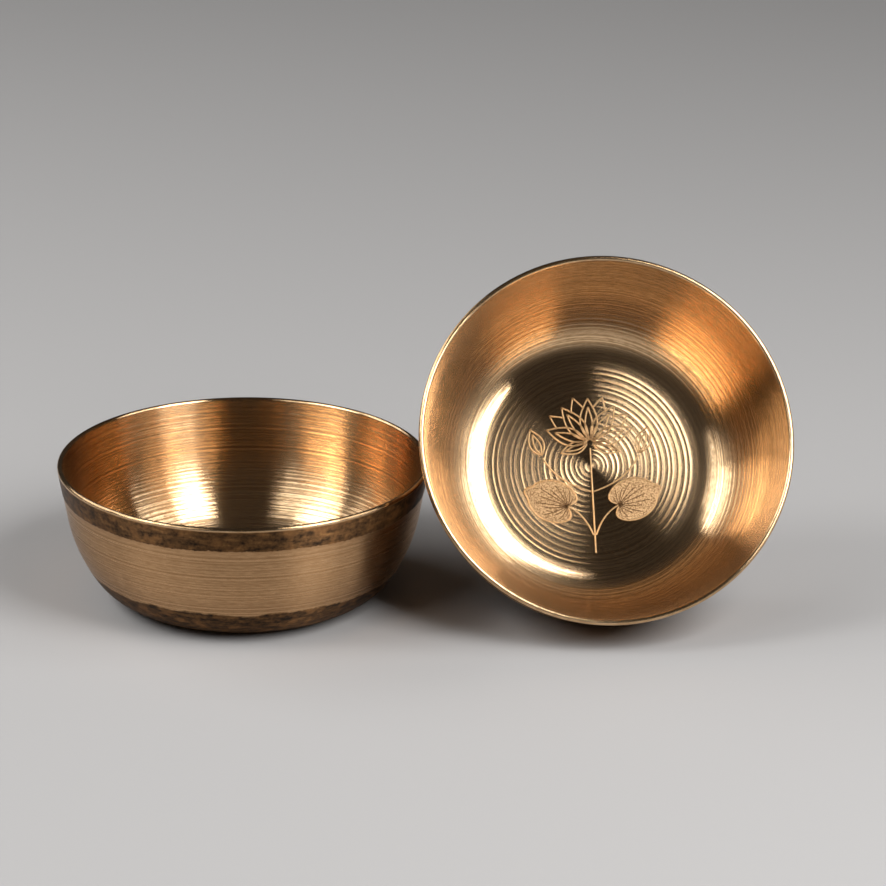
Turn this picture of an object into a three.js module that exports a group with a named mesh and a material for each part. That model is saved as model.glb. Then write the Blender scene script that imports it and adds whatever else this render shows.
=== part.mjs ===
// A pair of small turned bell-metal bowls (katori). One stands on its flat base, and its
// twin lies tipped over against the first one's rim with its open end forward.
// Millimetres, +Z up. The origin is the centre of the standing bowl's base, and -Y is forward.

import * as THREE from 'three';

// Driving dimensions of one bowl
const RIM_RADIUS = 50;
const BOWL_HEIGHT = 37;
const BASE_RADIUS = 28;
const HEEL_RADIUS = 15.5;
const BELLY_RADIUS = 40;
const WALL = 1.5;
const WALL_FLARE = THREE.MathUtils.degToRad(10);

// How the second bowl lies: tipped forward, turned a little, and clear of its twin's rim
const TIP = THREE.MathUtils.degToRad(57.1);
const TURN = THREE.MathUtils.degToRad(5.9);
const TIPPED_X = 93.8;
const TIPPED_Y = 13.3;

// Facets
const SEGMENTS = 72;
const HEEL_STEPS = 5;
const BELLY_STEPS = 4;
const LIP_STEPS = 4;

// Points on an arc. Angles are turned from straight down towards the outside.
function arc(centre, radius, start, end, steps) {
  const points = [];
  for (let i = 0; i <= steps; i++) {
    const angle = start + (end - start) * i / steps;
    const x = centre.x + radius * Math.sin(angle);
    const y = centre.y - radius * Math.cos(angle);
    points.push(new THREE.Vector2(x, y));
  }
  return points;
}

// The outline of half a bowl, from the axis under the base, up the outside, over the
// rounded lip and down the inside. x is the radius and y the height.
function bowlOutline() {
  const outward = Math.PI / 2 - WALL_FLARE;
  const wallNormal = new THREE.Vector2(Math.sin(outward), -Math.cos(outward));
  const wallRise = new THREE.Vector2(Math.sin(WALL_FLARE), Math.cos(WALL_FLARE));
  const lipRadius = WALL / 2;
  const lipCentre = new THREE.Vector2(RIM_RADIUS - lipRadius, BOWL_HEIGHT - lipRadius);
  const heelCentre = new THREE.Vector2(BASE_RADIUS, HEEL_RADIUS);

  // The belly arc meets the heel arc and the straight wall without a corner.
  const reach = heelCentre.clone().sub(lipCentre).dot(wallNormal) - lipRadius + BELLY_RADIUS;
  const climb = Math.sqrt((BELLY_RADIUS - HEEL_RADIUS) ** 2 - reach ** 2);
  const bellyCentre = heelCentre.clone()
    .addScaledVector(wallNormal, -reach)
    .addScaledVector(wallRise, climb);
  const join = Math.atan2(heelCentre.x - bellyCentre.x, bellyCentre.y - heelCentre.y);

  return [
    new THREE.Vector2(0, 0),
    ...arc(heelCentre, HEEL_RADIUS, 0, join, HEEL_STEPS),
    ...arc(bellyCentre, BELLY_RADIUS, join, outward, BELLY_STEPS).slice(1),
    ...arc(lipCentre, lipRadius, outward, outward + Math.PI, LIP_STEPS),
    ...arc(bellyCentre, BELLY_RADIUS - WALL, outward, join, BELLY_STEPS),
    ...arc(heelCentre, HEEL_RADIUS - WALL, join, 0, HEEL_STEPS).slice(1),
    new THREE.Vector2(0, WALL),
  ];
}

const outline = bowlOutline();

// One bowl is a single casting turned on the lathe, so it is one solid of revolution.
function bowl(name, colour) {
  const geometry = new THREE.LatheGeometry(outline, SEGMENTS).rotateX(Math.PI / 2);
  const material = new THREE.MeshStandardMaterial({
    color: colour,
    roughness: 0.32,
    metalness: 1,
  });
  const mesh = new THREE.Mesh(geometry, material);
  mesh.name = name;
  return mesh;
}

const bowls = new THREE.Group();

bowls.add(bowl('standing_bowl', 0xcd9f63));

// The tipped bowl's base centre is raised until its lowest meridian just meets the ground.
const restHeight = Math.max(
  ...outline.map((point) => point.x * Math.sin(TIP) - point.y * Math.cos(TIP)),
);
const tipped = bowl('tipped_bowl', 0xd1a266);
tipped.rotation.x = TIP;
const tippedPlace = new THREE.Group();
tippedPlace.rotation.z = TURN;
tippedPlace.position.set(TIPPED_X, TIPPED_Y, restHeight);
tippedPlace.add(tipped);
bowls.add(tippedPlace);

export default bowls;
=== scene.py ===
import math
import random

import bpy
from mathutils import Matrix, Vector


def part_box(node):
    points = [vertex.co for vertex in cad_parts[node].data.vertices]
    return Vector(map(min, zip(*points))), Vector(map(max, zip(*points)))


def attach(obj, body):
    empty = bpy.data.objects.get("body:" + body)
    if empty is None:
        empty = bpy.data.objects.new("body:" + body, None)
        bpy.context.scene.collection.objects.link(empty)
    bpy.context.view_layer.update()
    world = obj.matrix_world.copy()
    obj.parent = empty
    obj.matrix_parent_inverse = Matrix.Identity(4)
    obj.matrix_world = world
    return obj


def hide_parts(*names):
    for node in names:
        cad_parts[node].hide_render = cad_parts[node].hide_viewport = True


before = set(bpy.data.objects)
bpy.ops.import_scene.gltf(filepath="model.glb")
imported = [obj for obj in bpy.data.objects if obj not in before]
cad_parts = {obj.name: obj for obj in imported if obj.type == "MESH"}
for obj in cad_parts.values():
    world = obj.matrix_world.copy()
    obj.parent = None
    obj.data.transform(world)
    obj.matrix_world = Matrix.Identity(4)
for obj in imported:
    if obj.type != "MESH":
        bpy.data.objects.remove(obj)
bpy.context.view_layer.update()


# ---------------------------------------------------------------------------
# Camera: a long lens a little above the rims, square to the front of the pair.
# ---------------------------------------------------------------------------
CAMERA_HEIGHT = math.radians(20.72)
CAMERA_ROLL = math.radians(0.43)
CAMERA_DISTANCE = 1.2
CAMERA_LENS = 180.5
CAMERA_AIM = Vector((0.0536, 0.0074, 0.0396))

camera_data = bpy.data.cameras.new("camera")
camera_data.lens = CAMERA_LENS
camera_data.sensor_width = 36
camera_data.clip_end = 20
camera = bpy.data.objects.new("camera", camera_data)
bpy.context.collection.objects.link(camera)
backwards = Vector((0, -math.cos(CAMERA_HEIGHT), math.sin(CAMERA_HEIGHT)))
camera.location = CAMERA_AIM + backwards * CAMERA_DISTANCE
nod = Matrix.Rotation(math.radians(90) - CAMERA_HEIGHT, 3, "X")
camera.rotation_euler = (nod @ Matrix.Rotation(CAMERA_ROLL, 3, "Z")).to_euler()
bpy.context.scene.camera = camera


# ---------------------------------------------------------------------------
# The bowls: two equal katori of bell metal, each turned from one cast blank. The
# tool leaves rings on the floor and fine lines on the walls. Outside, only the
# middle band is turned, and dark casting skin is left under the rim and at the foot.
# ---------------------------------------------------------------------------
RIM_RADIUS = 0.050
BOWL_HEIGHT = 0.037
BASE_RADIUS = 0.028
HEEL_RADIUS = 0.0155
BELLY_RADIUS = 0.040
WALL = 0.0015
WALL_FLARE = math.radians(10)
TIP = math.radians(57.1)
TURN = math.radians(5.9)
SEGMENTS = 128
BASE_STEP = 0.002
OUTSIDE_STEP = 0.0004
RIM_STEP = 0.0002
INSIDE_STEP = 0.00012
MERGE_DISTANCE = 1e-6
# The tool's passes from the centre outwards: where each ends along the inside,
# the distance between its rings, and how deep they are.
PASSES = (
    (0.0265, 0.00150, 0.000024),
    (0.0365, 0.00180, 0.000007),
    (0.0440, 0.00160, 0.000050),
    (0.0590, 0.00115, 0.000030),
    (0.0800, 0.00075, 0.000018),
)
BAND_TOP = 0.0300
BAND_BOTTOM = 0.0098
BAND_CUT = 0.00012
TOP_STEP = 0.0003
BOTTOM_STEP = 0.0006
RINGLESS_RIM = 0.003
WITHIN = 0.9993


class Link:
    """A node's output. Arithmetic on it adds Math nodes, and make adds any other node."""

    def __init__(self, tree, socket):
        self.tree = tree
        self.socket = socket

    def make(self, kind, settings=(), inputs=(), output=0):
        """Adds a node: its settings first, then its sockets' values or links."""
        node = self.tree.nodes.new(kind)
        for name, value in dict(settings).items():
            if name == "stops":
                ramp = node.color_ramp.elements
                while len(ramp) < len(value):
                    ramp.new(1.0)
                for element, (place, colour) in zip(ramp, value):
                    element.position = place
                    element.color = (*colour, 1.0)
            else:
                setattr(node, name, value)
        for key, value in dict(inputs).items():
            if isinstance(value, Link):
                self.tree.links.new(value.socket, node.inputs[key])
            else:
                node.inputs[key].default_value = value
        return Link(self.tree, node.outputs[output])

    def also(self, output):
        """Another output of the same node."""
        return Link(self.tree, self.socket.node.outputs[output])

    def maths(self, operation, first, second=0.0):
        settings = {"operation": operation}
        return self.make("ShaderNodeMath", settings, {0: first, 1: second})

    def __add__(self, other):
        return self.maths("ADD", self, other)

    def __sub__(self, other):
        return self.maths("SUBTRACT", self, other)

    def __rsub__(self, other):
        return self.maths("SUBTRACT", other, self)

    def __mul__(self, other):
        return self.maths("MULTIPLY", self, other)

    def __truediv__(self, other):
        return self.maths("DIVIDE", self, other)

    __radd__ = __add__
    __rmul__ = __mul__


def arc(centre, radius, start, end, step):
    """Points on an arc, the angles turned from straight down towards the outside."""
    count = max(3, round(abs(end - start) * radius / step))
    angles = [start + (end - start) * i / count for i in range(count + 1)]
    return [centre + radius * Vector((math.sin(a), -math.cos(a))) for a in angles]


def straight(start, end, step):
    """Points along a straight line, both ends included."""
    count = max(1, round((end - start).length / step))
    return [start.lerp(end, i / count) for i in range(count + 1)]


def tool_rings():
    """Each ring's start, end and depth along the inside, the spacing a little uneven."""
    hand = random.Random(6)
    rings = []
    start = 0.0
    for end, pitch, depth in PASSES:
        while start < end:
            after = start + pitch * hand.uniform(0.75, 1.25)
            rings.append((start, after, depth * hand.uniform(0.6, 1.4)))
            start = after
    return rings


def bowl_outline():
    """The outside and the inside of half a bowl, as (radius, height) points."""
    outward = math.pi / 2 - WALL_FLARE
    normal = Vector((math.sin(outward), -math.cos(outward)))
    rise = Vector((math.sin(WALL_FLARE), math.cos(WALL_FLARE)))
    lip = WALL / 2
    lip_centre = Vector((RIM_RADIUS - lip, BOWL_HEIGHT - lip))
    heel_centre = Vector((BASE_RADIUS, HEEL_RADIUS))
    reach = (heel_centre - lip_centre).dot(normal) - lip + BELLY_RADIUS
    climb = math.sqrt((BELLY_RADIUS - HEEL_RADIUS) ** 2 - reach**2)
    belly_centre = heel_centre - reach * normal + climb * rise
    lean = heel_centre - belly_centre
    join = math.atan2(lean.x, -lean.y)
    top = math.pi + outward
    outside = straight(Vector((0, 0)), Vector((BASE_RADIUS, 0)), BASE_STEP)
    outside += arc(heel_centre, HEEL_RADIUS, 0, join, OUTSIDE_STEP)[1:]
    outside += arc(belly_centre, BELLY_RADIUS, join, outward, OUTSIDE_STEP)[1:]
    lip_start = lip_centre + lip * normal
    outside += straight(outside[-1], lip_start, OUTSIDE_STEP)[1:]
    rim = arc(lip_centre, lip, outward, top, RIM_STEP)[1:]
    inside = straight(Vector((0, WALL)), Vector((BASE_RADIUS, WALL)), INSIDE_STEP)
    inside += arc(heel_centre, HEEL_RADIUS - WALL, 0, join, INSIDE_STEP)[1:]
    inside += arc(belly_centre, BELLY_RADIUS - WALL, join, outward, INSIDE_STEP)[1:]
    inside += straight(inside[-1], rim[-1], INSIDE_STEP)[1:-1]
    return outside, rim, inside


def turned(points, depth):
    """The points moved in from the metal's surface, by depth(distance along, point)."""
    moved = []
    along = 0.0
    for i, point in enumerate(points):
        before = points[max(i - 1, 0)]
        after = points[min(i + 1, len(points) - 1)]
        along += (point - before).length
        run = (after - before).normalized()
        moved.append(point + Vector((run.y, -run.x)) * -depth(along, point))
    return moved


RINGS = tool_rings()


def inside_cut(along, point):
    """Round-nosed tool marks, hollow between sharp ridges, cut into the inside."""
    near_rim = min(1.0, (BOWL_HEIGHT - point.y) / RINGLESS_RIM)
    for start, end, depth in RINGS:
        if start <= along < end:
            across = (along - start) / (end - start)
            return -depth * (1 - (2 * across - 1) ** 2) * near_rim
    return 0.0


def outside_cut(_, point):
    """The turned middle band lies slightly below the casting skin."""
    into_top = (BAND_TOP - point.y) / TOP_STEP
    into_bottom = (point.y - BAND_BOTTOM) / BOTTOM_STEP
    return BAND_CUT * max(0.0, min(1.0, into_top, into_bottom))


def outline_mesh(name):
    """The half outline as a chain of edges, held just within the CAD solid's flat facets."""
    outside, rim, inside = bowl_outline()
    outside = turned(outside, outside_cut)
    inside = turned(inside, inside_cut)
    chain = outside + rim + inside[::-1]
    mesh = bpy.data.meshes.new(name)
    places = [(point.x * WITHIN, 0, point.y * WITHIN) for point in chain]
    mesh.from_pydata(places, [(i, i + 1) for i in range(len(chain) - 1)], [])
    is_outside = [1.0] * len(outside) + [0.0] * (len(chain) - len(outside))
    mesh.attributes.new("outside", "FLOAT", "POINT").data.foreach_set("value", is_outside)
    return mesh


def lathe_tree():
    """Revolves the outline: a grid of rows round the axis and columns along the outline."""
    tree = bpy.data.node_groups.new("lathe", "GeometryNodeTree")
    face = tree.interface
    face.new_socket("Outline", in_out="INPUT", socket_type="NodeSocketGeometry")
    face.new_socket("Segments", in_out="INPUT", socket_type="NodeSocketInt")
    face.new_socket("Metal", in_out="INPUT", socket_type="NodeSocketMaterial")
    face.new_socket("Bowl", in_out="OUTPUT", socket_type="NodeSocketGeometry")
    outline = Link(tree, tree.nodes.new("NodeGroupInput").outputs["Outline"])
    segments = outline.also("Segments")
    size = outline.make("GeometryNodeAttributeDomainSize", {}, {"Geometry": outline})
    grid_size = {"Size X": 1.0, "Size Y": 1.0, "Vertices X": size, "Vertices Y": segments + 1}
    grid = outline.make("GeometryNodeMeshGrid", {}, grid_size)
    unrolled = grid.also("UV Map")
    here = outline.make("GeometryNodeInputPosition")
    across = outline.make("ShaderNodeSeparateXYZ", {}, {0: here})
    column = outline.maths("ROUND", (across + 0.5) * (size - 1))
    angle = (across.also("Y") + 0.5) * math.tau

    def sample(kind, value):
        found = {"Geometry": outline, "Value": value, "Index": column}
        return outline.make("GeometryNodeSampleIndex", {"data_type": kind}, found)

    radius = outline.make("ShaderNodeSeparateXYZ", {}, {0: sample("FLOAT_VECTOR", here)})
    height = radius.also("Z")
    x = radius * outline.maths("COSINE", angle)
    y = radius * outline.maths("SINE", angle)
    place = outline.make("ShaderNodeCombineXYZ", {}, {"X": x, "Y": y, "Z": height})
    side = outline.make(
        "GeometryNodeInputNamedAttribute", {"data_type": "FLOAT"}, {"Name": "outside"}
    )
    skin = sample("FLOAT", side)
    kept = (
        ("spun", "FLOAT_VECTOR", "POINT", place),
        ("outside", "FLOAT", "POINT", skin),
        ("turning", "FLOAT2", "CORNER", unrolled),
    )
    for name, kind, domain, value in kept:
        settings = {"data_type": kind, "domain": domain}
        stored = {"Geometry": grid, "Name": name, "Value": value}
        grid = outline.make("GeometryNodeStoreNamedAttribute", settings, stored)
    bowl = outline.make("GeometryNodeSetPosition", {}, {"Geometry": grid, "Position": place})
    merged = {"Geometry": bowl, "Distance": MERGE_DISTANCE}
    bowl = outline.make("GeometryNodeMergeByDistance", {}, merged)
    bowl = outline.make("GeometryNodeFlipFaces", {}, {"Mesh": bowl})
    bowl = outline.make("GeometryNodeSetShadeSmooth", {}, {"Geometry": bowl})
    bowl = outline.make("GeometryNodeRealizeInstances", {}, {"Geometry": bowl})
    metal = {"Geometry": bowl, "Material": outline.also("Metal")}
    bowl = outline.make("GeometryNodeSetMaterial", {}, metal)
    end = tree.nodes.new("NodeGroupOutput")
    tree.links.new(bowl.socket, end.inputs["Bowl"])
    return tree


def grown(name, mesh, tree, values):
    """Runs a geometry tree on a mesh and returns the result as a plain object."""
    seed = bpy.data.objects.new(name, mesh)
    bpy.context.collection.objects.link(seed)
    modifier = seed.modifiers.new(tree.name, "NODES")
    modifier.node_group = tree
    for item in tree.interface.items_tree:
        if item.in_out == "INPUT" and item.name in values:
            modifier[item.identifier] = values[item.name]
    evaluated = seed.evaluated_get(bpy.context.evaluated_depsgraph_get())
    result = bpy.data.meshes.new_from_object(evaluated)
    result.name = name
    seed.modifiers.clear()
    seed.data = result
    return seed


def bell_metal():
    """Golden bronze with lathe lines, and dark mottled oxide on the unturned bands."""
    material = bpy.data.materials.new("bell_metal")
    material.use_nodes = True
    tree = material.node_tree
    tree.nodes.clear()
    spun = Link(tree, tree.nodes.new("ShaderNodeAttribute").outputs["Vector"])
    spun.socket.node.attribute_name = "spun"
    side = spun.make("ShaderNodeAttribute", {"attribute_name": "outside"}, {}, "Fac")
    x = spun.make("ShaderNodeSeparateXYZ", {}, {0: spun})
    y = x.also("Y")
    z = x.also("Z")
    radius = spun.maths("SQRT", x * x + y * y) + 1e-5

    def streaks(around, along, detail):
        """Noise drawn out round the turning: cells per radian, and cells per metre along."""
        parts = {"X": x / radius * around, "Y": y / radius * around, "Z": (z + radius) * along}
        place = spun.make("ShaderNodeCombineXYZ", {}, parts)
        values = {"Vector": place, "Scale": 1.0, "Detail": detail}
        return spun.make("ShaderNodeTexNoise", {"noise_dimensions": "3D"}, values)

    def rows(along, detail):
        """Lines that run true all the way round, so many to the metre along the outline."""
        values = {"W": (z + radius) * along, "Scale": 1.0, "Detail": detail, "Roughness": 0.65}
        return spun.make("ShaderNodeTexNoise", {"noise_dimensions": "1D"}, values)

    def blotch(scale, detail):
        """Even spots, so many to the metre."""
        values = {"Vector": spun, "Scale": scale, "Detail": detail}
        return spun.make("ShaderNodeTexNoise", {"noise_dimensions": "3D"}, values)

    def between(value, low, high):
        """0 below low, 1 above high, and a smooth step from one to the other."""
        values = {"Value": value, "From Min": low, "From Max": high}
        return spun.make("ShaderNodeMapRange", {"interpolation_type": "SMOOTHSTEP"}, values)

    def mix(factor, first, second):
        values = {"Factor": factor, 6: first, 7: second}
        return spun.make("ShaderNodeMix", {"data_type": "RGBA"}, values, 2)

    wobble = (blotch(90, 2) - 0.5) * 0.0012 + (blotch(900, 4) - 0.5) * 0.0010
    under_rim = between(z + wobble, BAND_TOP - 0.0001, BAND_TOP + 0.0002)
    clean_lip = between(z + wobble * 0.3, BOWL_HEIGHT - 0.0012, BOWL_HEIGHT - 0.0009)
    worn = (blotch(110, 2) - 0.5) * 0.0030
    round_foot = 1 - between(z + worn + wobble, BAND_BOTTOM - 0.0004, BAND_BOTTOM + 0.0003)
    # Painted highlight: the skin is mostly left off the lowest fraction of a millimetre, so the
    # base and the foot's bottom edge show bright metal for the ring where the foot's edge catches
    # the light.
    highlight_edge = 1 - between(z + worn * 0.2, 0.0004, 0.0008)
    skin = side * (under_rim * (1 - clean_lip) + round_foot * (1 - highlight_edge * 0.8))

    mottle = streaks(12, 620, 4) * 0.65 + blotch(1100, 4) * 0.35 - round_foot * 0.05
    stops = [
        (0.34, (0.020, 0.011, 0.005)),
        (0.46, (0.095, 0.046, 0.017)),
        (0.58, (0.185, 0.090, 0.032)),
        (0.72, (0.380, 0.185, 0.065)),
    ]
    copper = (0.38, 0.175, 0.060, 1.0)
    rubbed = between(blotch(260, 4), 0.50, 0.66) * 0.35
    oxide = mix(rubbed, spun.make("ShaderNodeValToRGB", {"stops": stops}, {0: mottle}), copper)
    wall = between(radius + z * 0.5, 0.030, 0.039)
    lines = rows(1300, 4)
    marks = streaks(20, 1500, 2)
    tone = between(lines * 0.7 + marks * 0.3, 0.38, 0.62)
    bright = (0.95, 0.665, 0.390, 1.0)
    deep = (0.54, 0.342, 0.175, 1.0)
    dull_bright = (0.58, 0.350, 0.180, 1.0)
    dull_deep = (0.40, 0.225, 0.105, 1.0)
    inner = mix(tone, deep, bright)
    outer = mix(tone, dull_deep, dull_bright)
    colour = mix(skin, mix(side, inner, outer), oxide)

    turned_lines = rows(900, 1) * (2.0e-5 + wall * 3.0e-5)
    pits = blotch(2600, 3) * 3.0e-5
    height = turned_lines * (1 - skin) + pits * skin
    bump = spun.make("ShaderNodeBump", {}, {"Height": height, "Distance": 1.0, "Strength": 1.0})
    roughness = 0.145 + wall * 0.095 + side * 0.08 - tone * 0.05 + skin * 0.14
    tangent = {"direction_type": "UV_MAP", "uv_map": "turning"}
    along_profile = spun.make("ShaderNodeTangent", tangent)
    shader = spun.make(
        "ShaderNodeBsdfPrincipled",
        {},
        {
            "Base Color": colour,
            "Metallic": 1 - skin * 0.20,
            "Roughness": roughness,
            "Normal": bump,
            "Anisotropic": 1.0,
            "Tangent": along_profile,
        },
    )
    out = tree.nodes.new("ShaderNodeOutputMaterial")
    tree.links.new(shader.socket, out.inputs["Surface"])
    return material


def place_in(mesh, node):
    """How an upright bowl's mesh is tipped, turned and brought to its CAD node's box."""
    lean = Matrix.Rotation(TURN, 4, "Z") @ Matrix.Rotation(TIP, 4, "X")
    corners = [lean @ v.co for v in mesh.vertices]
    low = Vector([min(corner[i] for corner in corners) for i in range(3)])
    high = Vector([max(corner[i] for corner in corners) for i in range(3)])
    cad_low_corner, cad_high_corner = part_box(node)
    shift = (cad_low_corner + cad_high_corner - low - high) / 2
    return Matrix.Translation(shift) @ lean


METAL = bell_metal()
LATHE = lathe_tree()
sizes = {"Segments": SEGMENTS, "Metal": METAL}
standing = grown("standing_bowl_turned", outline_mesh("outline"), LATHE, sizes)
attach(standing, "standing")
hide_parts("standing_bowl")

tipped = grown("tipped_bowl_turned", outline_mesh("outline"), LATHE, sizes)
TIPPED_PLACE = place_in(tipped.data, "tipped_bowl")
tipped.data.transform(TIPPED_PLACE)
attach(tipped, "tipped")
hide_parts("tipped_bowl")


# ---------------------------------------------------------------------------
# The engraving: a plain lotus spray, the same left and right, cut by hand into the
# inside floor of each bowl with a fine graver, which leaves the metal frosted. The
# leaves are stippled all over and their veins are left dark.
# ---------------------------------------------------------------------------
MM = 0.001
LINE_WIDTH = 0.46 * MM
VEIN_WIDTH = 0.24 * MM
CUT_TOP = WALL + 0.015 * MM
CUT_DEPTH = 0.08 * MM
LEAF_TOP = CUT_TOP - 0.008 * MM
STROKE_STEPS = 28
# The drawing itself is in millimetres and degrees.
PETAL_GAP = 0.9
TIP_ONLY = slice(9, 20)
LEAF_PLACE = (10.8, -9.4)
LEAF_LENGTH = 14.0
LEAF_WIDTH = 11.4
LEAF_LEAN = 68


def bend(points):
    """A smooth stroke through a Bezier curve's control points, in millimetres."""
    stroke = []
    for i in range(STROKE_STEPS + 1):
        level = [Vector(p) for p in points]
        while len(level) > 1:
            level = [a.lerp(b, i / STROKE_STEPS) for a, b in zip(level, level[1:])]
        stroke.append(level[0])
    return stroke


def petal(base, angle, length, width):
    """A closed outline, pointed at both ends and fullest just past the middle."""
    way = Vector((math.cos(angle), math.sin(angle)))
    side = Vector((-way.y, way.x))
    outline = []
    for i in range(STROKE_STEPS):
        turn = math.tau * i / STROKE_STEPS
        along = (1 - math.cos(turn)) / 2
        spread = math.sin(math.pi * along**0.85) * math.copysign(1, math.pi - turn)
        outline.append(Vector(base) + way * length * along + side * width / 2 * spread)
    return outline


def double_petal(heart, degrees, length, width):
    """A petal that starts just off the flower's heart, with a narrower one inside it."""
    angle = math.radians(degrees)
    base = heart + Vector((math.cos(angle), math.sin(angle))) * PETAL_GAP
    inner = base + (base - heart) * 0.4
    return [petal(base, angle, length, width), petal(inner, angle, length * 0.76, width * 0.42)]


def leaf(centre, angle, length, width):
    """A lotus leaf's outline: nearly round, drawn out to a tip, with a notch at the stalk."""
    outline = []
    for i in range(2 * STROKE_STEPS):
        turn = math.tau * i / (2 * STROKE_STEPS)
        from_tip = min(turn, math.tau - turn)
        tip = 0.20 * math.exp(-((from_tip / 0.22) ** 2))
        notch = 0.42 * math.exp(-(((math.pi - from_tip) / 0.34) ** 2))
        reach = 1 + tip - notch
        flat = Vector((math.cos(turn) * length / 2, math.sin(turn) * width / 2)) * reach
        flat.rotate(Matrix.Rotation(angle, 2))
        outline.append(Vector(centre) + flat)
    return outline


def veins(outline, count, reach):
    """Veins that fan out from the leaf's notch towards its edge, each a little bowed."""
    size = len(outline)
    stalk = outline[size // 2]
    strokes = []
    for i in range(count):
        edge = outline[round(size * (0.62 + 0.76 * i / (count - 1))) % size]
        bow = Vector((stalk.y - edge.y, edge.x - stalk.x)) * 0.10 * (2 * i / (count - 1) - 1)
        end = stalk.lerp(edge, reach * (0.8 + 0.2 * (i % 2)))
        strokes.append(bend([stalk, stalk.lerp(end, 0.5) + bow, end]))
    return strokes


def lotus_leaves():
    """The outlines of the two leaves, one each side of the stem."""
    outlines = []
    for side in (-1, 1):
        centre = (side * LEAF_PLACE[0], LEAF_PLACE[1])
        angle = math.radians(90 - side * LEAF_LEAN)
        outlines.append(leaf(centre, angle, LEAF_LENGTH, LEAF_WIDTH))
    return outlines


def lotus_strokes():
    """The line work as closed and open strokes: flower, stem, buds and stalks."""
    heart = Vector((0, 6.5))
    loops = []
    for turn in (-72, -36, 0, 36, 72):
        loops += double_petal(heart, 90 + turn, 11.4, 4.8)
    for turn in (-108, 108):
        loops += double_petal(heart, 90 + turn, 7.6, 3.2)
    lines = [bend([(0, 5.0), (0, -24.0)])]
    for turn in (-54, -18, 18, 54):
        behind = petal(heart, math.radians(90 + turn), 13.2, 5.4)
        lines.append(behind[TIP_ONLY])
    for side, outline in zip((-1, 1), lotus_leaves()):
        bud = Vector((side * 13.0, 2.6))
        loops += double_petal(bud, 90 - side * 22, 7.6, 4.0)
        lines.append(bend([bud, (side * 10.0, -4.0), (side * 0.4, -7.0)]))
        stalk = outline[len(outline) // 2]
        lines.append(bend([stalk, (side * 2.6, -13.0), (side * 0.4, -19.0)]))
    return loops, lines


def stroke_mesh(name, loops, lines):
    """Strokes in millimetres as chains of edges on the bowl's floor, in metres."""
    places = []
    edges = []
    for stroke, closed in [(s, True) for s in loops] + [(s, False) for s in lines]:
        first = len(places)
        places += [(p.x * MM, p.y * MM, CUT_TOP - CUT_DEPTH / 2) for p in stroke]
        edges += [(i, i + 1) for i in range(first, len(places) - 1)]
        if closed:
            edges.append((len(places) - 1, first))
    mesh = bpy.data.meshes.new(name)
    mesh.from_pydata(places, edges, [])
    return mesh


def graver_tree():
    """Runs a flat cutter's section along every stroke."""
    tree = bpy.data.node_groups.new("graver", "GeometryNodeTree")
    face = tree.interface
    face.new_socket("Strokes", in_out="INPUT", socket_type="NodeSocketGeometry")
    face.new_socket("Width", in_out="INPUT", socket_type="NodeSocketFloat")
    face.new_socket("Depth", in_out="INPUT", socket_type="NodeSocketFloat")
    face.new_socket("Metal", in_out="INPUT", socket_type="NodeSocketMaterial")
    face.new_socket("Cut", in_out="OUTPUT", socket_type="NodeSocketGeometry")
    strokes = Link(tree, tree.nodes.new("NodeGroupInput").outputs["Strokes"])
    curve = strokes.make("GeometryNodeMeshToCurve", {}, {0: strokes})
    curve = strokes.make("GeometryNodeSetCurveNormal", {"mode": "Z_UP"}, {"Curve": curve})
    size = {"Width": strokes.also("Width"), "Height": strokes.also("Depth")}
    cutter = strokes.make("GeometryNodeCurvePrimitiveQuadrilateral", {}, size)
    swept = {"Curve": curve, "Profile Curve": cutter, "Fill Caps": True}
    cut = strokes.make("GeometryNodeCurveToMesh", {}, swept)
    cut = strokes.make("GeometryNodeRealizeInstances", {}, {"Geometry": cut})
    metal = {"Geometry": cut, "Material": strokes.also("Metal")}
    cut = strokes.make("GeometryNodeSetMaterial", {}, metal)
    end = tree.nodes.new("NodeGroupOutput")
    tree.links.new(cut.socket, end.inputs["Cut"])
    return tree


def cut_metal(name, pale, dark, roughness):
    """Metal roughened by the graver: stippled, with no direction to its shine."""
    material = bpy.data.materials.new(name)
    material.use_nodes = True
    tree = material.node_tree
    tree.nodes.clear()
    place = Link(tree, tree.nodes.new("ShaderNodeTexCoord").outputs["Object"])
    grain = {"Vector": place, "Scale": 3400.0, "Detail": 2.0}
    stipple = place.make("ShaderNodeTexNoise", {}, grain)
    stops = [(0.40, dark), (0.58, pale)]
    colour = place.make("ShaderNodeValToRGB", {"stops": stops}, {0: stipple})
    bump = {"Height": stipple * 4e-5, "Distance": 1.0, "Strength": 1.0}
    values = {
        "Base Color": colour,
        "Metallic": 0.9,
        "Roughness": roughness,
        "Normal": place.make("ShaderNodeBump", {}, bump),
    }
    shader = place.make("ShaderNodeBsdfPrincipled", {}, values)
    out = tree.nodes.new("ShaderNodeOutputMaterial")
    tree.links.new(shader.socket, out.inputs["Surface"])
    return material


def leaf_plates(name, outlines, metal):
    """The stippled leaves: thin closed plates that just clear the turned rings."""
    bottom = CUT_TOP - CUT_DEPTH
    places = []
    faces = []
    for outline in outlines:
        first = len(places)
        count = len(outline)
        places += [(p.x * MM, p.y * MM, LEAF_TOP) for p in outline]
        places += [(p.x * MM, p.y * MM, bottom) for p in outline]
        upper = range(first, first + count)
        faces.append(tuple(upper))
        faces.append(tuple(i + count for i in reversed(upper)))
        for i in upper:
            after = first + (i - first + 1) % count
            faces.append((i, i + count, after + count, after))
    mesh = bpy.data.meshes.new(name)
    mesh.from_pydata(places, [], faces)
    mesh.materials.append(metal)
    plates = bpy.data.objects.new(name, mesh)
    bpy.context.collection.objects.link(plates)
    return plates


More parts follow.
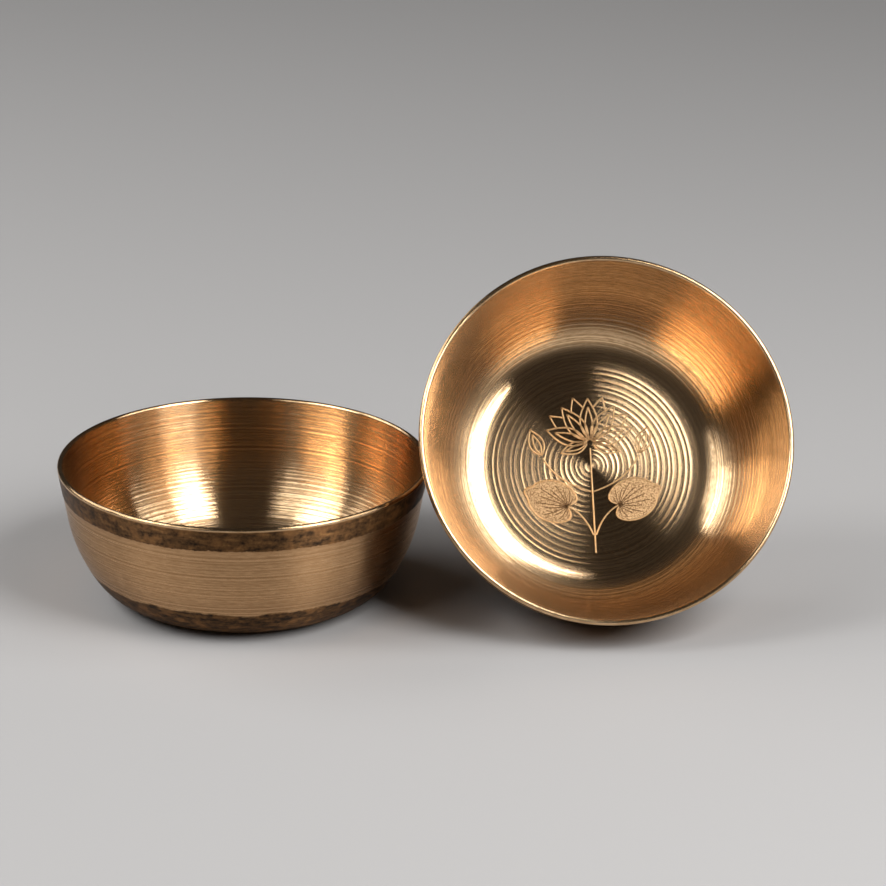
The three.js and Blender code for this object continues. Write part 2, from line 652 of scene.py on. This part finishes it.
FROSTED = cut_metal("frosted_cut", (0.82, 0.53, 0.27), (0.52, 0.31, 0.14), 0.46)
STIPPLED = cut_metal("stippled_leaf", (0.60, 0.385, 0.20), (0.20, 0.11, 0.045), 0.50)
DARKENED = cut_metal("dark_vein", (0.22, 0.12, 0.05), (0.08, 0.04, 0.02), 0.50)
GRAVER = graver_tree()
for body in ("standing", "tipped"):
    leaves = lotus_leaves()
    outlines, strokes = lotus_strokes()
    lines = stroke_mesh("strokes", outlines + leaves, strokes)
    sizes = {"Width": LINE_WIDTH, "Depth": CUT_DEPTH, "Metal": FROSTED}
    dark_strokes = [vein for outline in leaves for vein in veins(outline, 13, 0.80)]
    dark = stroke_mesh("vein_strokes", [], dark_strokes)
    vein_sizes = {"Width": VEIN_WIDTH, "Depth": CUT_DEPTH, "Metal": DARKENED}
    pieces = (
        grown(f"lotus_lines_{body}", lines, GRAVER, sizes),
        grown(f"lotus_veins_{body}", dark, GRAVER, vein_sizes),
        leaf_plates(f"lotus_leaves_{body}", leaves, STIPPLED),
    )
    for piece in pieces:
        if body == "tipped":
            piece.data.transform(TIPPED_PLACE)
        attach(piece, body)


# ---------------------------------------------------------------------------
# Studio: a plain pale floor, a main softbox in front to the right with a weaker
# one beside it, three weaker ones round the left side, and a dim even room.
# ---------------------------------------------------------------------------
FLOOR_SIZE = 4.0
FLOOR_TOP = -0.00005
floor_mesh = bpy.data.meshes.new("floor")
half = FLOOR_SIZE / 2
corners = [(-half, -half, 0), (half, -half, 0), (half, half, 0), (-half, half, 0)]
floor_mesh.from_pydata(corners, [], [(0, 1, 2, 3)])
floor = bpy.data.objects.new("floor", floor_mesh)
bpy.context.collection.objects.link(floor)
floor_material = bpy.data.materials.new("pale_floor")
floor_material.use_nodes = True
floor_shader = floor_material.node_tree.nodes["Principled BSDF"]
floor_shader.inputs["Base Color"].default_value = (0.50, 0.49, 0.485, 1)
floor_shader.inputs["Roughness"].default_value = 0.85
floor_mesh.materials.append(floor_material)
floor.location.z = FLOOR_TOP


def softbox(name, azimuth, elevation, distance, width, height, power):
    """A rectangular area light aimed at the pair. Azimuth 0 is in front, positive to the right."""
    light = bpy.data.lights.new(name, "AREA")
    light.shape = "RECTANGLE"
    light.size = width
    light.size_y = height
    light.energy = power
    lamp = bpy.data.objects.new(name, light)
    bpy.context.collection.objects.link(lamp)
    flat = math.cos(math.radians(elevation))
    direction = Vector((
        math.sin(math.radians(azimuth)) * flat,
        -math.cos(math.radians(azimuth)) * flat,
        math.sin(math.radians(elevation)),
    ))
    lamp.location = CAMERA_AIM + direction * distance
    lamp.rotation_euler = direction.to_track_quat("Z", "Y").to_euler()


softbox("right_softbox", 48, 41, 0.9, 0.40, 0.58, 6.6)
softbox("right_fill", 82, 40, 1.0, 0.44, 0.50, 2.2)
softbox("left_softbox", -74, 42, 1.0, 0.34, 0.50, 3.4)
softbox("left_fill", -47, 40, 1.0, 0.44, 0.50, 1.3)
softbox("side_fill", -115, 36, 1.0, 0.66, 0.50, 2.6)

world = bpy.data.worlds.new("room")
world.use_nodes = True
world.node_tree.nodes["Background"].inputs["Color"].default_value = (1.0, 0.92, 0.84, 1)
world.node_tree.nodes["Background"].inputs["Strength"].default_value = 0.035
bpy.context.scene.world = world
bpy.context.scene.view_settings.view_transform = "Standard"
